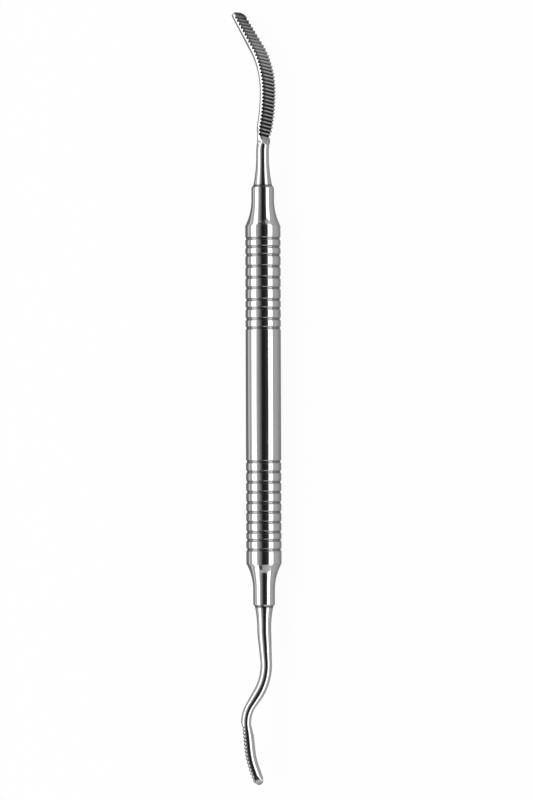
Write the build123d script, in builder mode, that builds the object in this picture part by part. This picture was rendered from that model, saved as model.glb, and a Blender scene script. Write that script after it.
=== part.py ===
"""Double-ended bone file: a hollow ringed handle with a pressed-in file at each end.

Units are millimetres. The handle's axis is the Y axis, +Y towards the long file and +Z up as the
instrument lies. The origin is on the axis, in the middle of the plain grip.
"""

import os
from math import acos, asin, copysign, cos, degrees, floor, radians, sin, tan

from build123d import *

# Handle barrel: a turned tube with two groups of ring grooves beside a plain grip
barrel_diameter = 8.0
barrel_bore = 6.6
grip_length = 30.25
long_side_ring_pitches = (2.05, 2.40, 1.95, 2.65, 2.40, 2.50, 2.55, 1.85, 1.90)
short_side_ring_pitches = (2.31, 2.31, 2.27, 2.36, 2.18, 2.27, 2.22, 1.86, 2.15)
long_side_land = 3.0
short_side_land = 3.3
ring_opening = 0.75
ring_floor = 0.35
ring_depth = 0.20
barrel_edge_break = 0.06

# End cones: each closes the barrel with a spigot and holds a tang in a blind bore
spigot_length = 6.0
spigot_chamfer = 0.3
nose_chamfer_depth = 0.33
nose_chamfer_length = 0.5
long_cone_length = 9.0
long_cone_flare_radius = 13.2
long_cone_nose_diameter = 5.13
short_cone_length = 9.6
short_cone_flare_radius = 12.5
short_cone_nose_diameter = 4.92

# Tangs of the two files, alike, in the bores of the cones
tang_diameter = 3.0
tang_length = 10.0
tang_chamfer = 0.4
bore_clearance = 0.02
bore_end_gap = 0.5

# Long file: shank, then a half-round blade that lifts, crests and droops, toothed on its flat face
long_root_diameter = 4.30
long_flare_length = 6.8
long_neck_diameter = 2.87
long_neck_run = 0.83
long_lift_radius = 8.0
long_lift_turn = 15.0
long_swell_run = 3.1
long_blade_diameter = 4.3
long_blade_width = 3.9
long_blade_thickness = 2.18
long_crest_radius = 33.0
long_droop_radius = 17.5
long_droop_turn = 37.5
long_tip_run = 10.5
long_tip_diameter = 3.5
long_runout_angle = 42.0
long_teeth_start = 11.4
long_teeth_end_margin = 1.6
long_tip_plan_round = 1.7
long_tip_side_round = 1.4

# Short file: tapering shank, a contra-angle, and a finer blade toothed on its outer side
short_root_diameter = 4.20
short_flare_length = 5.0
short_neck_diameter = 3.15
short_lean_radius = 20.0
short_lean_turn = 3.6
short_taper_run = 6.2
short_shank_diameter = 2.60
short_offset_radius = 12.5
short_offset_turn = 36.4
short_offset_run = 2.80
short_return_radius = 7.3
short_return_turn = 38.5
short_return_diameter = 2.27
short_swell_run = 2.5
short_blade_diameter = 3.0
short_blade_thickness = 2.35
short_blade_run = 3.0
short_blade_radius = 18.0
short_blade_turn = 14.2
short_tip_run = 3.9
short_runout_angle = 20.0
short_teeth_start = 27.4
short_teeth_end_margin = 1.4
short_tip_plan_round = 1.5
short_tip_side_round = 1.2

# Teeth: straight grooves across each blade at one pitch along the handle, cut a little askew
tooth_pitch = 0.82
long_tooth_depth = 0.40
short_tooth_depth = 0.24
tooth_land = 0.20
groove_floor = 0.16
tooth_rake_share = 0.3
tooth_skew = 8.0

# Angle about the handle's axis from the long blade's toothed side to the short blade's
toothed_side_clocking = 128.0

# How far cutting tools stand clear of what they cut, and how closely the resting tip is sought
cut_overrun = 0.05
tool_reach = 8.0
mesh_fineness = 0.03
roll_halvings = 24

barrel_radius = barrel_diameter / 2
long_end = grip_length / 2 + sum(long_side_ring_pitches) + long_side_land
short_end = -(grip_length / 2 + sum(short_side_ring_pitches) + short_side_land)
long_joint = long_end + long_cone_length
short_joint = short_end - short_cone_length

os.makedirs("parts", exist_ok=True)


def ring_centres():
    """Places of the ring grooves along the handle, outwards from the grip on both sides."""
    places = []
    for side, pitches in ((1, long_side_ring_pitches), (-1, short_side_ring_pitches)):
        place = grip_length / 2
        places.append(side * place)
        for pitch in pitches:
            place += pitch
            places.append(side * place)
    return places


# Barrel: half of its section, with every ring groove, turned about the axis
with BuildPart() as barrel:
    with BuildSketch(Plane.XY):
        with BuildLine():
            Polyline(
                (barrel_bore / 2, short_end),
                (barrel_radius - barrel_edge_break, short_end),
                (barrel_radius, short_end + barrel_edge_break),
                (barrel_radius, long_end - barrel_edge_break),
                (barrel_radius - barrel_edge_break, long_end),
                (barrel_bore / 2, long_end),
                close=True,
            )
        make_face()
        ring_wall_slope = (ring_opening - ring_floor) / 2 / ring_depth
        ring_half_opening = ring_opening / 2 + cut_overrun * ring_wall_slope
        with Locations(*[(barrel_radius, place) for place in ring_centres()]):
            Polygon(
                (cut_overrun, -ring_half_opening),
                (cut_overrun, ring_half_opening),
                (-ring_depth, ring_floor / 2),
                (-ring_depth, -ring_floor / 2),
                align=None,
                mode=Mode.SUBTRACT,
            )
    revolve(axis=Axis.Y)


def end_cone(length, flare_radius, nose_diameter):
    """An end cone on the Y axis: shoulder at y = 0, spigot below it, nose face at y = length."""
    nose = nose_diameter / 2
    spigot = barrel_bore / 2 - bore_clearance
    shoulder = barrel_radius - barrel_edge_break
    flare_angle = acos(1 - (shoulder - nose) / flare_radius)
    flare_end = flare_radius * sin(flare_angle)
    bore = tang_diameter / 2 + bore_clearance
    bore_bottom = length - tang_length - bore_end_gap
    with BuildPart() as cone:
        with BuildSketch(Plane.XY):
            with BuildLine():
                flare = JernArc((nose, flare_end), (0, -1), flare_radius, degrees(flare_angle))
                Polyline(
                    flare @ 0,
                    (nose, length - nose_chamfer_length),
                    (nose - nose_chamfer_depth, length),
                    (bore, length),
                    (bore, bore_bottom),
                    (0, bore_bottom),
                    (0, -spigot_length),
                    (spigot - spigot_chamfer, -spigot_length),
                    (spigot, spigot_chamfer - spigot_length),
                    (spigot, 0),
                    flare @ 1,
                )
            make_face()
        revolve(axis=Axis.Y)
    return cone.part


def side_route(route, offset):
    """Sizes and turns of a line that runs beside the centre line, on its toothed side."""
    return [
        (size - copysign(offset, turn), turn) if turn else (size, 0)
        for size, turn, diameter in route
    ]


def follow(route, along, offset=0.0):
    """Height and slope, in radians, of a bent line at a distance along the handle's axis."""
    start, height, slope = 0.0, offset, 0.0
    for size, turn in side_route(route, offset):
        if turn:
            radius = copysign(size, turn)
            end_slope = slope + radians(turn)
            run = radius * (sin(end_slope) - sin(slope))
            if along < start + run:
                here = asin(sin(slope) + (along - start) / radius)
                return height + radius * (cos(slope) - cos(here)), here
            height += radius * (cos(slope) - cos(end_slope))
            slope = end_slope
        else:
            run = size * cos(slope)
            if along < start + run:
                break
            height += run * tan(slope)
        start += run
    return height + (along - start) * tan(slope), slope


def reach(route):
    """How far a bent line goes along the handle's axis."""
    total, slope = 0.0, 0.0
    for size, turn, diameter in route:
        if turn:
            total += copysign(size, turn) * (sin(slope + radians(turn)) - sin(slope))
            slope += radians(turn)
        else:
            total += size * cos(slope)
    return total


def flared_flank(length, root, neck):
    """Outline of the root's flare: a hollow arc that runs out along the neck."""
    drop = root - neck
    radius = (length**2 + drop**2) / (2 * drop)
    return JernArc((length, neck), (-1, 0), radius, -degrees(asin(length / radius)))


def forged_stock(root_diameter, route):
    """Tang, root, shank and round blade before grinding, bent in the XY plane along +X.

    The first stage of the route is the root's flare.
    """
    point, heading, diameter = Vector(0, 0), 0.0, root_diameter
    with BuildPart() as stock:
        with BuildSketch(Plane.YZ):
            Circle(tang_diameter / 2)
        tang = extrude(amount=-tang_length)
        chamfer(tang.edges().group_by(Axis.X)[0], tang_chamfer)
        for stage, (size, turn, end_diameter) in enumerate(route):
            forwards = Vector(1, 0).rotate(Axis.Z, heading)
            sideways = Vector(0, copysign(size, turn)).rotate(Axis.Z, heading)
            if turn:
                with BuildSketch(Plane(origin=point, x_dir=(0, 0, 1), z_dir=forwards)):
                    Circle(end_diameter / 2)
                centre = point + sideways
                bend_axis = Axis(centre, (0, 0, copysign(1, turn)))
                revolve(axis=bend_axis, revolution_arc=abs(turn))
                point = centre - sideways.rotate(Axis.Z, turn)
                heading += turn
            else:
                with BuildSketch(Plane(origin=point, x_dir=forwards, z_dir=(0, 0, 1))):
                    with BuildLine():
                        if stage == 0:
                            flared_flank(size, diameter / 2, end_diameter / 2)
                        else:
                            Line((0, diameter / 2), (size, end_diameter / 2))
                        Polyline(
                            (size, end_diameter / 2), (size, 0), (0, 0), (0, diameter / 2)
                        )
                    make_face()
                revolve(axis=Axis(point, forwards))
                point += forwards * size
            diameter = end_diameter
    return stock.part


def bent_line(route, offset):
    """Edges of a line beside the centre line, inside a BuildLine."""
    point, heading = Vector(0, offset), 0.0
    for size, turn in side_route(route, offset):
        if turn:
            direction = (cos(radians(heading)), sin(radians(heading)))
            edge = JernArc(point, direction, size, turn)
        else:
            edge = PolarLine(point, size, heading)
        point = edge @ 1
        heading += turn
    return point


def face_relief(route, face_height, runout_angle, teeth_start):
    """What grinding takes off above the toothed face, up to the ramp where the wheel ran out."""
    ramp_along = teeth_start - tooth_pitch / 2
    ramp_height, slope = follow(route, ramp_along, face_height)
    ramp_slope = slope - radians(runout_angle)
    ramp_top = ramp_height - (ramp_along + tool_reach) * tan(ramp_slope)
    with BuildPart() as relief:
        with BuildSketch(Plane.XY):
            with BuildLine():
                tip = bent_line(route, face_height)
                Polyline(
                    tip,
                    (tip.X + tool_reach, tip.Y),
                    (tip.X + tool_reach, ramp_top),
                    (0, ramp_top),
                    (0, face_height),
                )
            make_face()
            Polygon(
                (ramp_along, ramp_height),
                (-tool_reach, ramp_top),
                (-tool_reach, -tool_reach),
                (ramp_along, -tool_reach),
                align=None,
                mode=Mode.SUBTRACT,
            )
        extrude(amount=tool_reach, both=True)
    return relief.part


def side_relief(route, width, start):
    """What grinding takes off beyond the two flat sides of a blade that wide."""
    with BuildPart() as relief:
        for side in (-1, 1):
            with BuildSketch(Plane.XY.offset(side * width / 2)):
                with Locations((start, 0)):
                    Rectangle(reach(route), 4 * tool_reach, align=(Align.MIN, Align.CENTER))
            extrude(amount=side * tool_reach)
    return relief.part


def tooth_grooves(route, face_height, teeth_start, teeth_end, depth):
    """Cutters for the grooves between the teeth, one pitch apart along the handle."""
    count = floor((teeth_end - teeth_start) / tooth_pitch) + 1
    opening = tooth_pitch - tooth_land
    steep = (opening - groove_floor) * tooth_rake_share
    shallow = opening - groove_floor - steep
    rise = cut_overrun / depth
    skew = radians(tooth_skew)
    with BuildPart() as grooves:
        for i in range(count):
            along = teeth_start + i * tooth_pitch
            height, slope = follow(route, along, face_height)
            tangent = Vector(cos(slope), sin(slope), 0)
            across = Vector(0, 0, 1)
            cut_plane = Plane(
                origin=(along, height, 0),
                x_dir=tangent * cos(skew) - across * sin(skew),
                z_dir=across * cos(skew) + tangent * sin(skew),
            )
            with BuildSketch(cut_plane):
                Polygon(
                    (-opening / 2 - steep * rise, cut_overrun),
                    (-opening / 2 + steep, -depth),
                    (opening / 2 - shallow, -depth),
                    (opening / 2 + shallow * rise, cut_overrun),
                    align=None,
                )
        extrude(amount=tool_reach / 2, both=True)
    return grooves.part


def tip_rounding(route, face_height, plan_round, side_round):
    """What rounding takes off the tip, seen on its face and seen from the side."""
    end = reach(route)
    height, slope = follow(route, end)
    radius = route[-1][2] / 2
    forwards = Vector(cos(slope), sin(slope), 0)
    outwards = Vector(-sin(slope), cos(slope), 0)
    tip = Vector(end, height, 0)
    half_thickness = (radius + face_height) / 2
    on_face = Plane(origin=tip, x_dir=forwards, z_dir=outwards)
    beside = Plane(
        origin=tip + outwards * (face_height - half_thickness), x_dir=forwards, z_dir=(0, 0, 1)
    )
    with BuildPart() as rounding:
        for view, depth, half_width in (
            (on_face, plan_round, radius),
            (beside, side_round, half_thickness),
        ):
            with BuildSketch(view):
                with Locations((cut_overrun - depth / 2, 0)):
                    Rectangle(depth + 2 * cut_overrun, tool_reach)
                with Locations((-depth, 0)):
                    Ellipse(depth, half_width + cut_overrun, mode=Mode.SUBTRACT)
            extrude(amount=tool_reach / 2, both=True)
    return rounding.part


def ground_file(stock, *cuts):
    """The finished file end: stock, less what grinding and tooth cutting take off it."""
    with BuildPart() as file_end:
        add(stock)
        for cut in cuts:
            add(cut, mode=Mode.SUBTRACT)
    return file_end.part


def resting_roll(blade):
    """Angle of the bend above the table when the blade's tip comes down level with the barrel."""
    points = blade.tessellate(mesh_fineness)[0]
    low, high = 0.0, 90.0
    for halving in range(roll_halvings):
        roll = (low + high) / 2
        lowest = min(p.Y * sin(radians(roll)) - p.Z * cos(radians(roll)) for p in points)
        if lowest < -barrel_radius:
            high = roll
        else:
            low = roll
    return low


# Long file, bent and ground in the XY plane along +X
long_route = [
    (long_flare_length, 0, long_neck_diameter),
    (long_neck_run, 0, long_neck_diameter),
    (long_lift_radius, long_lift_turn, long_neck_diameter),
    (long_swell_run, 0, long_blade_diameter),
    (long_crest_radius, -long_lift_turn, long_blade_diameter),
    (long_droop_radius, -long_droop_turn, long_blade_diameter),
    (long_tip_run, 0, long_tip_diameter),
]
long_face_height = long_blade_thickness - long_blade_diameter / 2
long_teeth_end = reach(long_route) - long_teeth_end_margin
long_blank = ground_file(
    forged_stock(long_root_diameter, long_route),
    face_relief(long_route, long_face_height, long_runout_angle, long_teeth_start),
    side_relief(long_route, long_blade_width, long_teeth_start),
    tip_rounding(long_route, long_face_height, long_tip_plan_round, long_tip_side_round),
    tooth_grooves(
        long_route, long_face_height, long_teeth_start, long_teeth_end, long_tooth_depth
    ),
)

# Short file, made the same way
short_route = [
    (short_flare_length, 0, short_neck_diameter),
    (short_lean_radius, -short_lean_turn, short_neck_diameter),
    (short_taper_run, 0, short_shank_diameter),
    (short_offset_radius, short_offset_turn, short_shank_diameter),
    (short_offset_run, 0, short_return_diameter),
    (short_return_radius, -short_return_turn, short_return_diameter),
    (short_swell_run, 0, short_blade_diameter),
    (short_blade_run, 0, short_blade_diameter),
    (short_blade_radius, -short_blade_turn, short_blade_diameter),
    (short_tip_run, 0, short_blade_diameter),
]
short_face_height = short_blade_thickness - short_blade_diameter / 2
short_teeth_end = reach(short_route) - short_teeth_end_margin
short_blank = ground_file(
    forged_stock(short_root_diameter, short_route),
    face_relief(short_route, short_face_height, short_runout_angle, short_teeth_start),
    tip_rounding(short_route, short_face_height, short_tip_plan_round, short_tip_side_round),
    tooth_grooves(
        short_route, short_face_height, short_teeth_start, short_teeth_end, short_tooth_depth
    ),
)

# Each piece in its place: the long file rolled until its tip rests level with the barrel
long_roll = radians(resting_roll(long_blank))
short_roll = long_roll + radians(toothed_side_clocking)
long_place = Plane(
    origin=(0, long_joint, 0), x_dir=(0, 1, 0), z_dir=(sin(long_roll), 0, -cos(long_roll))
)
short_place = Plane(
    origin=(0, short_joint, 0), x_dir=(0, -1, 0), z_dir=(-sin(short_roll), 0, cos(short_roll))
)

with BuildPart(Plane(origin=(0, long_end, 0), x_dir=(1, 0, 0), z_dir=(0, 0, 1))) as long_cone:
    add(end_cone(long_cone_length, long_cone_flare_radius, long_cone_nose_diameter))

with BuildPart(Plane(origin=(0, short_end, 0), x_dir=(-1, 0, 0), z_dir=(0, 0, 1))) as short_cone:
    add(end_cone(short_cone_length, short_cone_flare_radius, short_cone_nose_diameter))

with BuildPart(long_place) as long_file:
    add(long_blank)

with BuildPart(short_place) as short_file:
    add(short_blank)

barrel.part.label = "handle_barrel"
long_cone.part.label = "long_end_cone"
short_cone.part.label = "short_end_cone"
long_file.part.label = "long_file"
short_file.part.label = "short_file"

export_step(barrel.part, "parts/handle_barrel.step")
export_step(long_cone.part, "parts/long_end_cone.step")
export_step(short_cone.part, "parts/short_end_cone.step")
export_step(long_file.part, "parts/long_file.step")
export_step(short_file.part, "parts/short_file.step")

print(f"long file's bend lies {degrees(long_roll):.2f} degrees above the table")
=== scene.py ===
from math import acos, cos, pi, radians, sin, sqrt, tan

import bmesh
import bpy
from mathutils import Matrix, Vector


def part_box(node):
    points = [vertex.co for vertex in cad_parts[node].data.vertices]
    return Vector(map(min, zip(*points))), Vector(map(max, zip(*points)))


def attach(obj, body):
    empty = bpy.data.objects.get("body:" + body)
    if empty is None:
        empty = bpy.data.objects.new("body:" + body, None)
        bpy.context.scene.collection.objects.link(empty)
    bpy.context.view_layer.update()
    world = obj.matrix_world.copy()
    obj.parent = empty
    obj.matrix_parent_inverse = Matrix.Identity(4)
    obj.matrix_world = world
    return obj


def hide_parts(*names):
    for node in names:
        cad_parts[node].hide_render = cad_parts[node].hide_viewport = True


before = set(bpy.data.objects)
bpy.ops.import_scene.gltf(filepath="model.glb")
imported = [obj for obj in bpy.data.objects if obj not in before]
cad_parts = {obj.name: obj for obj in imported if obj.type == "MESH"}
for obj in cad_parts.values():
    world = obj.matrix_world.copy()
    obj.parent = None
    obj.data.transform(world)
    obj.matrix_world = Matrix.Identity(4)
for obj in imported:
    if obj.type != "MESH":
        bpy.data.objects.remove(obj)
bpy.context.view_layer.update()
scene = bpy.context.scene
mm = 0.001


# Camera: leans over the handle's right side, square to its axis
camera = {
    "leanFromAbove": 25.7,
    "distance": 1000.0,
    "frameHeight": 181.3,
    "aimAcross": 0.70,
    "aimAlong": -1.18,
    "roll": 0.2,
}


def placeCamera(settings):
    lean = radians(settings["leanFromAbove"])
    towards = Vector((sin(lean), 0, cos(lean)))
    across = Vector((cos(lean), 0, -sin(lean)))
    spot = towards * settings["distance"] + across * settings["aimAcross"]
    spot.y += settings["aimAlong"]
    lens = bpy.data.cameras.new("studioCamera")
    lens.sensor_width = 36
    lens.lens = 36 * settings["distance"] / settings["frameHeight"]
    lens.clip_start = 0.01
    body = bpy.data.objects.new("studioCamera", lens)
    turn = Matrix((across, Vector((0, 1, 0)), towards)).transposed().to_4x4()
    tilt = Matrix.Rotation(-radians(settings["roll"]), 4, "Z")
    body.matrix_world = Matrix.Translation(spot * mm) @ turn @ tilt
    scene.collection.objects.link(body)
    scene.camera = body


placeCamera(camera)
print("camera placed")


# Studio: a white table that turns up at its rim, two softboxes, and cards that only the steel sees
studio = {
    "tableRadius": 2.5,
    "rimHeight": 0.6,
    "tableHeight": -4.0,
    "tableGlow": 0.94,
    "surroundings": 0.60,
    "endCardGap": 0.5,
    "tableCardGap": 0.02,
}
softboxes = {
    "overheadSoftbox": {"from": -57.0, "to": -20.5, "distance": 0.9, "length": 2.4, "level": 1.60},
    "sideSoftbox": {"from": 58.7, "to": 89.5, "distance": 0.9, "length": 1.6, "level": 1.60},
}
# Light grey at one edge, a black core and dark grey at the other
darkCard = {
    "from": -12.0,
    "to": 59.5,
    "distance": 0.8,
    "along": 0.10,
    "length": 1.64,
    "shades": ((0.0, 0.60), (0.43, 0.02), (0.62, 0.02), (1.0, 0.09)),
}
endCards = {
    "upperEndCard": {"along": 0.75, "across": 0.17, "width": 0.62, "height": 0.62, "shade": 0.07},
    "lowerEndCard": {"along": -0.75, "across": 0.30, "width": 0.76, "height": 0.70, "shade": 0.60},
    "lowerEndShade": {
        "along": -0.74, "across": -0.05, "width": 0.30, "height": 0.70, "shade": 0.10,
    },
}
tableCards = {
    "leftTableCard": {"from": -700.0, "to": -2.0, "length": 1200.0, "shade": 0.24},
    "rightTableCard": {"from": -2.0, "to": 700.0, "length": 1200.0, "shade": 0.60},
}


def linkedObject(name, mesh):
    data = bpy.data.meshes.new(name)
    mesh.to_mesh(data)
    mesh.free()
    piece = bpy.data.objects.new(name, data)
    scene.collection.objects.link(piece)
    return piece


def tableMaterial(glow):
    material = bpy.data.materials.new("whiteTable")
    material.use_nodes = True
    nodes, links = material.node_tree.nodes, material.node_tree.links
    nodes.clear()
    matt = nodes.new("ShaderNodeBsdfDiffuse")
    matt.inputs["Color"].default_value = (0.9, 0.9, 0.9, 1)
    white = nodes.new("ShaderNodeEmission")
    rays = nodes.new("ShaderNodeLightPath")
    seen = nodes.new("ShaderNodeMath")
    seen.operation = "MAXIMUM"
    links.new(rays.outputs["Is Camera Ray"], seen.inputs[0])
    links.new(rays.outputs["Is Glossy Ray"], seen.inputs[1])
    alsoSeen = nodes.new("ShaderNodeMath")
    alsoSeen.operation = "MAXIMUM"
    links.new(seen.outputs[0], alsoSeen.inputs[0])
    links.new(rays.outputs["Is Transmission Ray"], alsoSeen.inputs[1])
    share = nodes.new("ShaderNodeMath")
    share.operation = "MULTIPLY"
    share.inputs[1].default_value = glow
    links.new(alsoSeen.outputs[0], share.inputs[0])
    mix = nodes.new("ShaderNodeMixShader")
    links.new(share.outputs[0], mix.inputs["Fac"])
    links.new(matt.outputs[0], mix.inputs[1])
    links.new(white.outputs[0], mix.inputs[2])
    result = nodes.new("ShaderNodeOutputMaterial")
    links.new(mix.outputs[0], result.inputs["Surface"])
    return material


def buildTable(settings):
    mesh = bmesh.new()
    height = settings["tableHeight"] * mm
    bmesh.ops.create_circle(mesh, cap_ends=True, radius=settings["tableRadius"], segments=96)
    bmesh.ops.translate(mesh, vec=(0, 0, height), verts=mesh.verts)
    rim = [edge for edge in mesh.edges if edge.is_boundary]
    for step in range(1, 9):
        raised = bmesh.ops.extrude_edge_only(mesh, edges=rim)["geom"]
        corners = [item for item in raised if isinstance(item, bmesh.types.BMVert)]
        rim = [item for item in raised if isinstance(item, bmesh.types.BMEdge)]
        angle = step / 8 * pi / 2
        rise = settings["rimHeight"] * (1 - cos(angle))
        reach = settings["tableRadius"] + settings["rimHeight"] * sin(angle)
        for corner in corners:
            flat = Vector((corner.co.x, corner.co.y, 0)).normalized() * reach
            corner.co = (flat.x, flat.y, height + rise)
    table = linkedObject("whiteTable", mesh)
    table.data.polygons.foreach_set("use_smooth", [True] * len(table.data.polygons))
    table.data.materials.append(tableMaterial(settings["tableGlow"]))


def middleAndWidth(settings):
    middle = radians((settings["from"] + settings["to"]) / 2)
    halfAngle = radians((settings["to"] - settings["from"]) / 2)
    return middle, 2 * settings["distance"] * tan(halfAngle)


def hangSoftbox(name, settings):
    middle, width = middleAndWidth(settings)
    distance = settings["distance"]
    lamp = bpy.data.lights.new(name, "AREA")
    lamp.shape = "RECTANGLE"
    lamp.size = width
    lamp.size_y = settings["length"]
    lamp.energy = settings["level"] * pi * width * settings["length"]
    box = bpy.data.objects.new(name, lamp)
    box.location = (distance * sin(middle), 0, distance * cos(middle))
    box.rotation_euler = (0, middle, 0)
    box.visible_camera = False
    scene.collection.objects.link(box)


def reflectedCard(name, width, length, place, turn, material):
    mesh = bmesh.new()
    bmesh.ops.create_grid(mesh, x_segments=1, y_segments=1, size=0.5)
    bmesh.ops.scale(mesh, vec=(width, length, 1), verts=mesh.verts)
    card = linkedObject(name, mesh)
    card.location = place
    card.rotation_euler = turn
    card.data.materials.append(material)
    card.visible_camera = False
    card.visible_diffuse = False
    card.visible_shadow = False


def mattCard(name, shade):
    material = bpy.data.materials.new(name)
    material.use_nodes = True
    nodes, links = material.node_tree.nodes, material.node_tree.links
    nodes.clear()
    matt = nodes.new("ShaderNodeBsdfDiffuse")
    matt.inputs["Color"].default_value = (shade, shade, shade, 1)
    result = nodes.new("ShaderNodeOutputMaterial")
    links.new(matt.outputs[0], result.inputs["Surface"])
    return material


def gradedCard(name, width, shades):
    material = bpy.data.materials.new(name)
    material.use_nodes = True
    nodes, links = material.node_tree.nodes, material.node_tree.links
    nodes.clear()
    place = nodes.new("ShaderNodeTexCoord")
    split = nodes.new("ShaderNodeSeparateXYZ")
    links.new(place.outputs["Object"], split.inputs[0])
    across = nodes.new("ShaderNodeMapRange")
    across.inputs["From Min"].default_value = -width / 2
    across.inputs["From Max"].default_value = width / 2
    links.new(split.outputs["X"], across.inputs["Value"])
    ramp = nodes.new("ShaderNodeValToRGB")
    stops = ramp.color_ramp.elements
    while len(stops) < len(shades):
        stops.new(0.5)
    for stop, (position, shade) in zip(stops, shades):
        stop.position = position
        stop.color = (shade, shade, shade, 1)
    links.new(across.outputs[0], ramp.inputs[0])
    glow = nodes.new("ShaderNodeEmission")
    links.new(ramp.outputs["Color"], glow.inputs["Color"])
    result = nodes.new("ShaderNodeOutputMaterial")
    links.new(glow.outputs[0], result.inputs["Surface"])
    return material


def hangDarkCard(settings):
    middle, width = middleAndWidth(settings)
    distance = settings["distance"]
    place = (distance * sin(middle), settings["along"], distance * cos(middle))
    material = gradedCard("darkCard", width, settings["shades"])
    reflectedCard("darkCard", width, settings["length"], place, (0, middle, 0), material)


def standEndCards(cards):
    foot = (studio["tableHeight"] + studio["endCardGap"]) * mm
    for name, settings in cards.items():
        material = mattCard(name, settings["shade"])
        height = settings["height"]
        place = (settings["across"], settings["along"], height / 2 + foot)
        turn = (pi / 2 if settings["along"] > 0 else -pi / 2, 0, 0)
        reflectedCard(name, settings["width"], height, place, turn, material)


def layTableCards(cards):
    height = studio["tableHeight"] + studio["tableCardGap"]
    for name, settings in cards.items():
        width = settings["to"] - settings["from"]
        middle = (settings["to"] + settings["from"]) / 2
        place = (middle * mm, 0, height * mm)
        material = mattCard(name, settings["shade"])
        reflectedCard(name, width * mm, settings["length"] * mm, place, (0, 0, 0), material)


buildTable(studio)
for name, settings in softboxes.items():
    hangSoftbox(name, settings)
hangDarkCard(darkCard)
standEndCards(endCards)
layTableCards(tableCards)
world = bpy.data.worlds.new("paleRoom")
world.use_nodes = True
background = world.node_tree.nodes["Background"]
background.inputs["Color"].default_value = (studio["surroundings"],) * 3 + (1,)
scene.world = world
scene.view_settings.view_transform = "Standard"
print("studio lit")


# Steel: grain, fine scratches and painted shade in grooves, at joints and over the tips are shared,
# and each finish sets its own values
def polishedSteelAndPaintedShadeGroup():
    group = bpy.data.node_groups.new("polishingMarksAndPaintedShade", "ShaderNodeTree")
    inputs = (
        ("Grain", 900.0), ("Base", 0.6), ("Variation", 0.05), ("Gloss", 0.1),
        ("Scratches", 0.05), ("Painted Shade", 0.0), ("Painted Shade Colour", 0.05),
    )
    for name, start in inputs:
        socket = group.interface.new_socket(name, in_out="INPUT", socket_type="NodeSocketFloat")
        socket.default_value = start
    group.interface.new_socket("Color", in_out="OUTPUT", socket_type="NodeSocketColor")
    group.interface.new_socket("Roughness", in_out="OUTPUT", socket_type="NodeSocketFloat")
    group.interface.new_socket("Height", in_out="OUTPUT", socket_type="NodeSocketFloat")
    nodes, links = group.nodes, group.links
    given = nodes.new("NodeGroupInput")
    result = nodes.new("NodeGroupOutput")
    place = nodes.new("ShaderNodeTexCoord")

    def stretched(scale, size, detail):
        mapping = nodes.new("ShaderNodeMapping")
        mapping.inputs["Scale"].default_value = scale
        links.new(place.outputs["Object"], mapping.inputs["Vector"])
        noise = nodes.new("ShaderNodeTexNoise")
        noise.inputs["Scale"].default_value = size
        noise.inputs["Detail"].default_value = detail
        links.new(mapping.outputs[0], noise.inputs["Vector"])
        return noise

    def addScaled(first, factor, second):
        node = nodes.new("ShaderNodeMath")
        node.operation = "MULTIPLY_ADD"
        links.new(first, node.inputs[0])
        links.new(factor, node.inputs[1])
        links.new(second, node.inputs[2])
        return node.outputs[0]

    grain = stretched((1, 0.06, 1), 1, 3)
    links.new(given.outputs["Grain"], grain.inputs["Scale"])
    smears = stretched((1, 0.5, 1), 140, 4)
    scratches = stretched((1, 0.25, 1), 700, 2)
    hairlines = nodes.new("ShaderNodeMapRange")
    hairlines.inputs["From Min"].default_value = 0.60
    hairlines.inputs["From Max"].default_value = 0.68
    links.new(scratches.outputs["Fac"], hairlines.inputs["Value"])

    rough = addScaled(smears.outputs["Fac"], given.outputs["Variation"], given.outputs["Gloss"])
    rough = addScaled(hairlines.outputs[0], given.outputs["Scratches"], rough)
    # The painted shade mask also makes the steel rougher
    rough = addScaled(given.outputs["Painted Shade"], given.outputs["Gloss"], rough)
    links.new(rough, result.inputs["Roughness"])

    # Painted shade: the colour darkens towards the darkest painted shade as the mask rises
    shade = addScaled(smears.outputs["Fac"], given.outputs["Variation"], given.outputs["Base"])
    darkened = nodes.new("ShaderNodeMapRange")
    links.new(given.outputs["Painted Shade"], darkened.inputs["Value"])
    links.new(shade, darkened.inputs["To Min"])
    links.new(given.outputs["Painted Shade Colour"], darkened.inputs["To Max"])
    links.new(darkened.outputs[0], result.inputs["Color"])
    links.new(grain.outputs["Fac"], result.inputs["Height"])
    return group


polishingMarksAndPaintedShade = polishedSteelAndPaintedShadeGroup()


def steelMaterial(name, settings):
    material = bpy.data.materials.new(name)
    material.use_nodes = True
    nodes, links = material.node_tree.nodes, material.node_tree.links
    shader = nodes["Principled BSDF"]
    shader.inputs["Metallic"].default_value = 1.0
    marks = nodes.new("ShaderNodeGroup")
    marks.node_tree = polishingMarksAndPaintedShade
    for value in ("Grain", "Base", "Variation", "Gloss", "Scratches", "Painted Shade Colour"):
        marks.inputs[value].default_value = settings[value]
    # Painted shade mask, stored on each piece's corners
    mask = nodes.new("ShaderNodeAttribute")
    mask.attribute_name = "paintedShadeMask"
    links.new(mask.outputs["Fac"], marks.inputs["Painted Shade"])
    links.new(marks.outputs["Color"], shader.inputs["Base Color"])
    links.new(marks.outputs["Roughness"], shader.inputs["Roughness"])
    relief = nodes.new("ShaderNodeBump")
    relief.inputs["Strength"].default_value = settings["bump"]
    relief.inputs["Distance"].default_value = 0.00002
    links.new(marks.outputs["Height"], relief.inputs["Height"])
    links.new(relief.outputs["Normal"], shader.inputs["Normal"])
    return material


handleFinish = {
    "Grain": 2500.0, "Base": 0.54, "Variation": 0.06, "Gloss": 0.05, "Scratches": 0.05,
    "Painted Shade Colour": 0.05, "bump": 0.1,
}
fileFinish = dict(handleFinish, Gloss=0.07)
# The files' painted shade goes nearly black
fileFinish["Painted Shade Colour"] = 0.012
handleSteel = steelMaterial("handleSteel", handleFinish)
fileSteel = steelMaterial("fileSteel", fileFinish)
print("steel finishes made")


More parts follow.
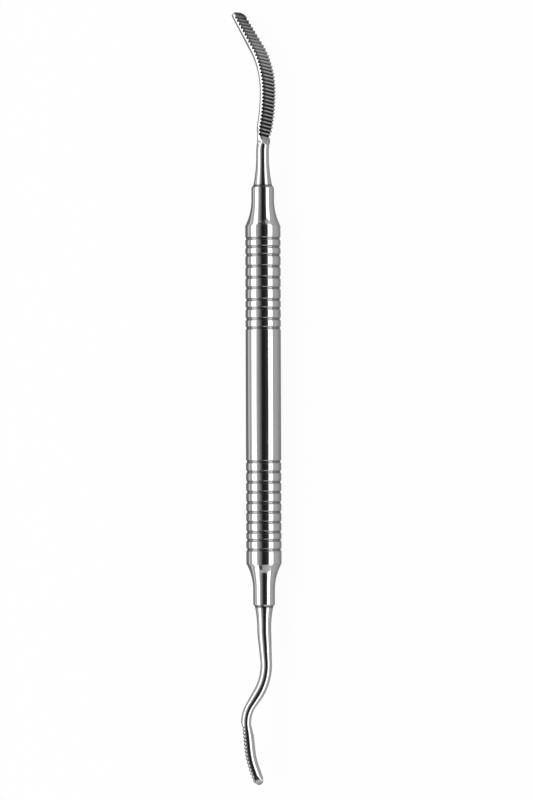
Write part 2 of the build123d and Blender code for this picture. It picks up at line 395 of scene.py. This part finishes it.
# Handle barrel: one tube with ten ring grooves each side of the plain grip
barrel = {
    "radius": 3.998,
    "bore": 3.3,
    "gripLength": 30.25,
    "upperRingSteps": (2.05, 2.40, 1.95, 2.65, 2.40, 2.50, 2.55, 1.85, 1.90),
    "lowerRingSteps": (2.31, 2.31, 2.27, 2.36, 2.18, 2.27, 2.22, 1.86, 2.15),
    "ringOpening": 0.75,
    "ringFloor": 0.35,
    "ringDepth": 0.20,
    # Painted shade in the ring grooves
    "ringPaintedShade": 0.6,
    "endBreak": 0.06,
    "cornerRounding": 0.035,
    "sides": 144,
}


def extendOutline(mesh, last, radius, along):
    corner = mesh.verts.new((radius * mm, along * mm, 0))
    if last is not None:
        mesh.edges.new((last, corner))
    return corner


def turnedPiece(name, mesh, sides, rounding, node, material, paintedShadeAt):
    bmesh.ops.spin(
        mesh, geom=mesh.verts[:] + mesh.edges[:], cent=(0, 0, 0), axis=(0, 1, 0),
        angle=2 * pi, steps=sides, use_merge=True,
    )
    bmesh.ops.remove_doubles(mesh, verts=mesh.verts, dist=1e-7)
    bmesh.ops.recalc_face_normals(mesh, faces=mesh.faces)
    corners = [
        edge for edge in mesh.edges
        if edge.is_manifold and edge.calc_face_angle() > 0.35
    ]
    bmesh.ops.bevel(
        mesh, geom=corners, offset=rounding * mm, offset_type="OFFSET", segments=2,
        profile=0.5, affect="EDGES", material=-1, clamp_overlap=True,
    )
    # Painted shade for each corner, from the piece's own rule
    paintedShadeLayer = mesh.verts.layers.float.new("paintedShadeMask")
    for corner in mesh.verts:
        reach = sqrt(corner.co.x ** 2 + corner.co.z ** 2) / mm
        corner[paintedShadeLayer] = paintedShadeAt(reach, corner.co.y / mm)
    finishPiece(linkedObject(name, mesh), node, material, 40)


def finishPiece(piece, node, material, sharpAngle):
    piece.data.polygons.foreach_set("use_smooth", [True] * len(piece.data.polygons))
    piece.data.set_sharp_from_angle(angle=radians(sharpAngle))
    piece.data.materials.append(material)
    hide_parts(node)
    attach(piece, "root")


def ringPlaces(settings):
    places = []
    for side, steps in ((-1, "lowerRingSteps"), (1, "upperRingSteps")):
        along = settings["gripLength"] / 2
        places.append(side * along)
        for step in settings[steps]:
            along += step
            places.append(side * along)
    return sorted(places)


def buildBarrel(settings):
    low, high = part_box("handle_barrel")
    bottom, top = low.y / mm, high.y / mm
    radius, broken = settings["radius"], settings["endBreak"]
    mesh = bmesh.new()
    first = extendOutline(mesh, None, settings["bore"], bottom)
    last = extendOutline(mesh, first, radius - broken, bottom)
    last = extendOutline(mesh, last, radius, bottom + broken)
    for place in ringPlaces(settings):
        half, floor = settings["ringOpening"] / 2, settings["ringFloor"] / 2
        last = extendOutline(mesh, last, radius, place - half)
        last = extendOutline(mesh, last, radius - settings["ringDepth"], place - floor)
        last = extendOutline(mesh, last, radius - settings["ringDepth"], place + floor)
        last = extendOutline(mesh, last, radius, place + half)
    last = extendOutline(mesh, last, radius, top - broken)
    last = extendOutline(mesh, last, radius - broken, top)
    last = extendOutline(mesh, last, settings["bore"], top)
    mesh.edges.new((last, first))

    # Painted shade in the ring grooves, darker the deeper the corner lies
    def ringPaintedShadeAt(reach, along):
        if reach < settings["bore"] + 0.1:
            return 0.0
        depth = (radius - reach) / settings["ringDepth"]
        return settings["ringPaintedShade"] * min(1, max(0, depth))

    turnedPiece(
        "handleBarrel", mesh, settings["sides"], settings["cornerRounding"],
        "handle_barrel", handleSteel, ringPaintedShadeAt,
    )


buildBarrel(barrel)
print("barrel turned")


# End cones: a concave flare from the barrel to a plain nose, with a chamfer round the file's root
longCone = {
    "length": 9.0,
    "flareRadius": 13.2,
    "nose": 2.565,
    "shoulder": 3.94,
    "spigot": 3.28,
    "spigotLength": 6.0,
    "bore": 1.52,
    "boreDepth": 10.5,
    "chamferDepth": 0.33,
    "chamferLength": 0.5,
    # Painted shade in a thin band at the joint with the file
    "jointPaintedShade": 0.4,
    "jointPaintedShadeWidth": 0.1,
    "flareSteps": 20,
    "cornerRounding": 0.05,
    "sides": 144,
}
shortCone = dict(longCone, length=9.6, flareRadius=12.5, nose=2.46)


def buildCone(name, settings, node, side):
    low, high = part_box(node)
    joint = high.y / mm if side > 0 else low.y / mm
    shoulder = joint - side * settings["length"]
    nose, wide = settings["nose"], settings["shoulder"]
    bend = acos(1 - (wide - nose) / settings["flareRadius"])
    flareEnd = shoulder + side * settings["flareRadius"] * sin(bend)
    mesh = bmesh.new()
    last = extendOutline(mesh, None, 0, shoulder - side * settings["spigotLength"])
    last = extendOutline(mesh, last, settings["spigot"], shoulder - side * settings["spigotLength"])
    last = extendOutline(mesh, last, settings["spigot"], shoulder)
    last = extendOutline(mesh, last, wide, shoulder)
    centre = Vector(((nose + settings["flareRadius"]) * mm, flareEnd * mm, 0))
    steps = settings["flareSteps"]
    for step in range(1, steps + 1):
        angle = bend * (1 - step / steps)
        last = extendOutline(
            mesh, last, centre.x / mm - settings["flareRadius"] * cos(angle),
            centre.y / mm - side * settings["flareRadius"] * sin(angle),
        )
    last = extendOutline(mesh, last, nose, joint - side * settings["chamferLength"])
    last = extendOutline(mesh, last, nose - settings["chamferDepth"], joint)
    last = extendOutline(mesh, last, settings["bore"], joint)
    last = extendOutline(mesh, last, settings["bore"], joint - side * settings["boreDepth"])
    extendOutline(mesh, last, 0, joint - side * settings["boreDepth"])

    # Painted shade in a thin band at the joint with the file's root
    def jointPaintedShadeAt(reach, along):
        near = abs(along - joint) < settings["jointPaintedShadeWidth"]
        return settings["jointPaintedShade"] if near else 0.0

    turnedPiece(
        name, mesh, settings["sides"], settings["cornerRounding"], node,
        handleSteel, jointPaintedShadeAt,
    )


buildCone("longEndCone", longCone, "long_end_cone", 1)
buildCone("shortEndCone", shortCone, "short_end_cone", -1)
print("end cones turned")


# Files: each is drawn out ring by ring, ground flat, cut with teeth and bent along its route,
# whose stages are (length, 0, end radius) for a run and (bend radius, turn, radius) for a bend
rollAboveTable = 18.34
# One tooth gap: place along the pitch and share of the depth
toothForm = (
    (-0.33, 0), (-0.29, 0.10), (-0.22, 0.60), (-0.17, 0.90), (-0.08, 1), (0, 1),
    (0.07, 0.92), (0.15, 0.62), (0.23, 0.28), (0.30, 0.07), (0.36, 0), (0.43, 0),
)
longFile = {
    "rootRadius": 2.15,
    "route": ((6.8, 0, 1.435), (0.83, 0, 1.435), (8.0, 15.0, 1.435), (3.1, 0, 2.15),
              (33.0, -15.0, 2.15), (17.5, -37.5, 2.15), (10.5, 0, 1.75)),
    "faceHeight": 0.03,
    "nearSideShare": 0.915,
    "farSideShare": 0.97,
    "sideDraft": 7.0,
    "draftBelow": 0.9,
    "edgeRounding": 0.10,
    "edgeRoundingWidth": 0.12,
    "rampRun": 2.6,
    "runoutAngle": 42.0,
    "teethStart": 11.4,
    "teethEndMargin": 1.6,
    "toothPitch": 0.82,
    "toothDepth": 0.40,
    "skew": -8.0,
    "tipPlanRound": 2.1,
    "tipSideRound": 1.5,
    # Painted shade: on the crests, along the near edge, over the tip, towards the tip, on the root
    # and at the groove ends
    "crestPaintedShade": 0.06,
    "nearEdgePaintedShade": 1.0,
    "nearEdgePaintedShadeWidth": 0.9,
    "tipPaintedShade": 0.75,
    "tipPaintedShadeLength": 0.6,
    "tipPaintedShadeOnFace": 2.2,
    "tipwardPaintedShade": 0.22,
    "tipwardReach": 16.0,
    "rootPaintedShadeLength": 0.4,
    "grooveEndPaintedShadeDepth": 0.0,
    "roll": rollAboveTable,
    "side": 1,
}
shortFile = dict(
    longFile,
    rootRadius=2.10,
    route=((5.0, 0, 1.575), (20.0, -3.6, 1.575), (6.2, 0, 1.30), (12.5, 36.4, 1.30),
           (2.8, 0, 1.135), (7.3, -38.5, 1.135), (2.5, 0, 1.50), (3.0, 0, 1.50),
           (18.0, -14.2, 1.50), (3.9, 0, 1.50)),
    faceHeight=0.85,
    nearSideShare=1.0,
    farSideShare=1.0,
    sideDraft=0.0,
    runoutAngle=20.0,
    teethStart=27.4,
    teethEndMargin=1.4,
    toothDepth=0.24,
    skew=8.0,
    tipPlanRound=2.4,
    tipSideRound=2.0,
    nearEdgePaintedShade=0.0,
    tipwardPaintedShade=0.0,
    grooveEndPaintedShadeDepth=0.14,
    roll=rollAboveTable + 128.0,
    side=-1,
)
tang = {"radius": 1.5, "length": 10.0, "chamfer": 0.4}
fileRings = {"sides": 72, "shank": 60, "ramp": 26, "tip": 28}


def stageLength(size, turn):
    return size * radians(abs(turn)) if turn else size


def bentPlace(settings, run):
    spot, heading, radius = Vector((0, 0)), 0.0, settings["rootRadius"]
    for stage, (size, turn, endRadius) in enumerate(settings["route"]):
        length = stageLength(size, turn)
        part = min(run, length)
        if turn:
            bend = radians(turn) * part / length
            curve = size if turn > 0 else -size
            turned = heading + bend
            spot += Vector((sin(turned) - sin(heading), cos(heading) - cos(turned))) * curve
            heading = turned
            radius = endRadius
        else:
            spot += Vector((cos(heading), sin(heading))) * part
            if stage == 0:
                hollow = (length ** 2 + (radius - endRadius) ** 2) / 2 / (radius - endRadius)
                radius = endRadius + hollow - sqrt(hollow ** 2 - (length - part) ** 2)
            else:
                share = part / length
                radius += (endRadius - radius) * share
        run -= part
        if run <= 0:
            break
    return spot, heading, radius


def runAt(settings, along):
    low, high = 0.0, sum(stageLength(size, turn) for size, turn, radius in settings["route"])
    for halving in range(30):
        middle = (low + high) / 2
        if bentPlace(settings, middle)[0].x < along:
            low = middle
        else:
            high = middle
    return low


def fileStations(settings):
    whole = sum(stageLength(size, turn) for size, turn, radius in settings["route"])
    rampEnd = runAt(settings, settings["teethStart"] - settings["toothPitch"] / 2)
    rampRun = settings["rampRun"]
    rampStart = rampEnd - rampRun
    shank, ramp, tip = fileRings["shank"], fileRings["ramp"], fileRings["tip"]
    stations = [(rampStart * step / shank, 0.0) for step in range(shank + 1)]
    stations += [(rampStart + rampRun * step / ramp, 0.0) for step in range(1, ramp + 1)]
    reach = bentPlace(settings, whole)[0].x
    place = settings["teethStart"]
    while place < reach - settings["teethEndMargin"]:
        for offset, share in toothForm:
            stations.append((runAt(settings, place + offset), share))
        place += settings["toothPitch"]
    last = stations[-1][0]
    for step in range(1, tip):
        stations.append((last + (whole - last) * sin(step / tip * pi / 2), 0.0))
    return stations, rampEnd, whole


def tipShare(left, length):
    return sqrt(max(0.0004, 1 - (1 - left / length) ** 2))  # never quite closed


def ringPoint(settings, run, share, angle, rampEnd, whole):
    spot, heading, radius = bentPlace(settings, run)
    outwards, across = radius * cos(angle), radius * sin(angle)
    nearSide = across * settings["side"] < 0
    left = whole - run

    # Ground away: the toothed face with its ramp and grooves, then the two sides
    rampRise = max(0, rampEnd - run) * tan(radians(settings["runoutAngle"]))
    onBlade = min(1, max(0, 1 - rampRise / 2))
    ceiling = settings["faceHeight"] + rampRise - share * settings["toothDepth"]
    onFace = outwards > ceiling
    height = min(outwards, ceiling)
    kept = settings["nearSideShare"] if nearSide else settings["farSideShare"]
    slant = tan(radians(settings["sideDraft"])) if nearSide else 0
    draft = max(0, height + settings["draftBelow"]) * slant
    limit = radius - (radius * (1 - kept) + draft) * onBlade
    if onFace:
        limit = min(limit, sqrt(radius ** 2 - ceiling ** 2))
    across = min(limit, max(-limit, across))
    if nearSide:
        inEdge = max(0, 1 - (limit - abs(across)) / settings["edgeRoundingWidth"])
        edgeRound = settings["edgeRounding"] * inEdge ** 2 * onBlade
        height = min(height, ceiling - edgeRound)

    # The tip rounded off, seen on its face and from the side
    if left < settings["tipPlanRound"]:
        limit = radius * tipShare(left, settings["tipPlanRound"])
        across = min(limit, max(-limit, across))
    if left < settings["tipSideRound"]:
        half = (radius + settings["faceHeight"]) / 2
        middle = settings["faceHeight"] - half
        half *= tipShare(left, settings["tipSideRound"])
        height = middle + min(half, max(-half, height - middle))

    # Painted shade: deep in a groove, along the near edge, over the tip and on the crests towards
    # the tip
    # Painted shade round the tip
    shade = settings["tipPaintedShade"] * max(0, 1 - left / settings["tipPaintedShadeLength"])
    if onFace and rampRise < 0.5:
        # Painted shade along the near edge, where the teeth end
        fromEdge = limit + across * settings["side"]
        nearEdge = max(0, 1 - fromEdge / settings["nearEdgePaintedShadeWidth"]) * settings["nearEdgePaintedShade"]
        overTip = settings["tipPaintedShade"] * min(1, max(0, settings["tipPaintedShadeOnFace"] - left))
        # Painted shade on the crests, growing towards the tip
        tipward = max(0, 1 - left / settings["tipwardReach"])
        crest = max(settings["crestPaintedShade"] + settings["tipwardPaintedShade"] * tipward, nearEdge, overTip)
        shade = crest + (1 - crest) * share ** (2 - 1.3 * tipward)
    # Painted shade on the side where a groove breaks out
    elif height > ceiling - settings["grooveEndPaintedShadeDepth"] and rampRise < 0.5:
        shade = max(shade, 0.9 * share)

    lean = tan(radians(settings["skew"])) * min(1, max(0, left - 0.4))
    lean *= min(1, max(0, 1 - rampRise))
    along = Vector((cos(heading), sin(heading)))
    beside = Vector((-sin(heading), cos(heading)))
    flat = spot + along * (lean * across) + beside * height
    return Vector((flat.x, flat.y, across)), shade


def filePlace(settings, joint, point):
    roll = radians(settings["roll"])
    side = settings["side"]
    return Vector((
        point.y * cos(roll) + side * point.z * sin(roll),
        joint + side * point.x,
        point.y * sin(roll) - side * point.z * cos(roll),
    )) * mm


def nextRing(mesh, ring):
    loop = []
    for corner, following in zip(ring, ring[1:] + ring[:1]):
        loop.append(next(
            edge for edge in corner.link_edges if edge.other_vert(corner) == following
        ))
    raised = bmesh.ops.extrude_edge_only(mesh, edges=loop)["geom"]
    newCorners = {item for item in raised if isinstance(item, bmesh.types.BMVert)}
    newRing = []
    for corner in ring:
        newRing.append(next(
            edge.other_vert(corner) for edge in corner.link_edges
            if edge.other_vert(corner) in newCorners
        ))
    return newRing


def buildFile(name, settings, node, cone):
    low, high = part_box(cone)
    joint = high.y / mm if settings["side"] > 0 else low.y / mm
    mesh = bmesh.new()
    paintedShadeLayer = mesh.verts.layers.float.new("paintedShadeMask")
    sides = fileRings["sides"]
    ring = bmesh.ops.create_circle(mesh, cap_ends=True, radius=0.001, segments=sides)["verts"]
    stations, rampEnd, whole = fileStations(settings)
    tangRings = (
        (-tang["length"], tang["radius"] - tang["chamfer"]),
        (tang["chamfer"] - tang["length"], tang["radius"]),
        (0.0, tang["radius"]),
    )
    angles = [2 * pi * step / sides for step in range(sides)]
    for along, radius in tangRings:
        if along > -tang["length"]:
            ring = nextRing(mesh, ring)
        for corner, angle in zip(ring, angles):
            point = Vector((along, radius * cos(angle), radius * sin(angle)))
            corner.co = filePlace(settings, joint, point)
    for run, share in stations:
        ring = nextRing(mesh, ring)
        for corner, angle in zip(ring, angles):
            point, shade = ringPoint(settings, run, share, angle, rampEnd, whole)
            # Painted shade also on the file's root, next to the cone's nose
            corner[paintedShadeLayer] = max(shade, 1 - run / settings["rootPaintedShadeLength"])
            corner.co = filePlace(settings, joint, point)
    bmesh.ops.contextual_create(mesh, geom=ring)
    bmesh.ops.remove_doubles(mesh, verts=mesh.verts, dist=1e-6)
    bmesh.ops.dissolve_degenerate(mesh, dist=1e-6, edges=mesh.edges)
    bmesh.ops.recalc_face_normals(mesh, faces=mesh.faces)
    finishPiece(linkedObject(name, mesh), node, fileSteel, 50)


buildFile("longFile", longFile, "long_file", "long_end_cone")
buildFile("shortFile", shortFile, "short_file", "short_end_cone")
print("files forged, ground and cut")
